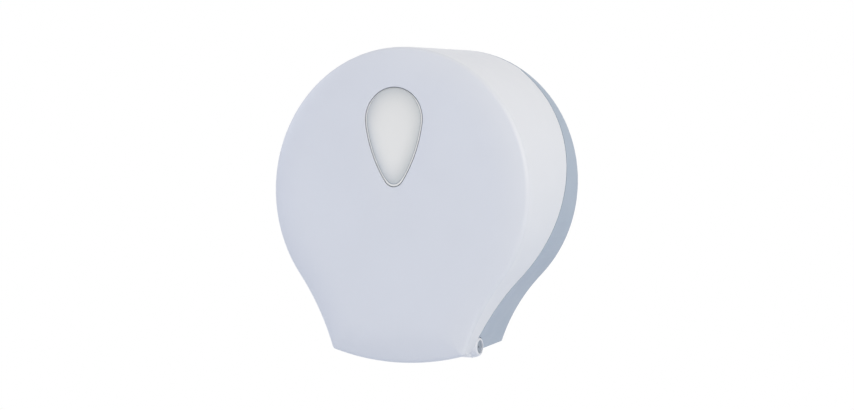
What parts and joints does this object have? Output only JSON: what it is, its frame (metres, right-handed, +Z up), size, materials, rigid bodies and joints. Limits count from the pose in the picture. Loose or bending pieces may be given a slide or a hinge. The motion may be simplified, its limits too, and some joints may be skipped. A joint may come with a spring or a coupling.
{
  "type": "jumbo toilet roll dispenser",
  "caption": "Wall-mounted drum-shaped toilet roll dispenser with a hinged lockable cover, a teardrop window, a turning roll hub and serrated tear strips.",
  "frame": {"origin": "centre of the four wall screw holes, on the wall plane at the back of the base", "axes": "+X to the right as seen from the front, +Y into the wall, +Z up"},
  "size_m": [0.267, 0.1357, 0.3008],
  "materials": {
    "base_plastic": "fine satin moulded plastic",
    "cover_plastic": "semi-gloss moulded plastic",
    "lens_plastic": "frosted translucent plastic",
    "pin_plastic": "satin moulded plastic",
    "hub_plastic": "moulded plastic",
    "washer_plastic": "natural plastic",
    "lock_metal": "plated",
    "steel": "brushed"
  },
  "bodies": {
    "base": {"rear_base": "base_plastic", "hinge_pin_right": "pin_plastic", "hinge_pin_left": "pin_plastic", "hinge_clips": "steel", "spindle_post": "base_plastic", "spindle_screws": "steel", "thrust_washer": "washer_plastic", "hub_cap": "base_plastic", "hub_screw": "steel", "lock_keeper": "steel", "keeper_screws": "steel", "tear_blade_right": "steel", "tear_blade_left": "steel", "blade_screws": "steel"},
    "cover": {"front_cover": "cover_plastic", "window_lens": "lens_plastic", "lock_barrel": "lock_metal", "lock_nut": "lock_metal"},
    "plug": {"lock_plug": "lock_metal", "lock_cam": "steel", "cam_screw": "steel"},
    "hub": {"roll_hub": "hub_plastic"}
  },
  "joints": [
    {"name": "cover_hinge", "type": "hinge", "parent": "base", "child": "cover", "pos_m": [0, -0.091, -0.1552], "axis": [1, 0, 0], "range_deg": [0, 90]},
    {"name": "lock_turn", "type": "hinge", "parent": "cover", "child": "plug", "pos_m": [0, -0.027, 0.12], "axis": [0, 0, 1], "range_deg": [0, 90]},
    {"name": "hub_spin", "type": "hinge", "parent": "base", "child": "hub", "pos_m": [0, -0.0576, -0.004], "axis": [0, -1, 0], "continuous": true}
  ]
}
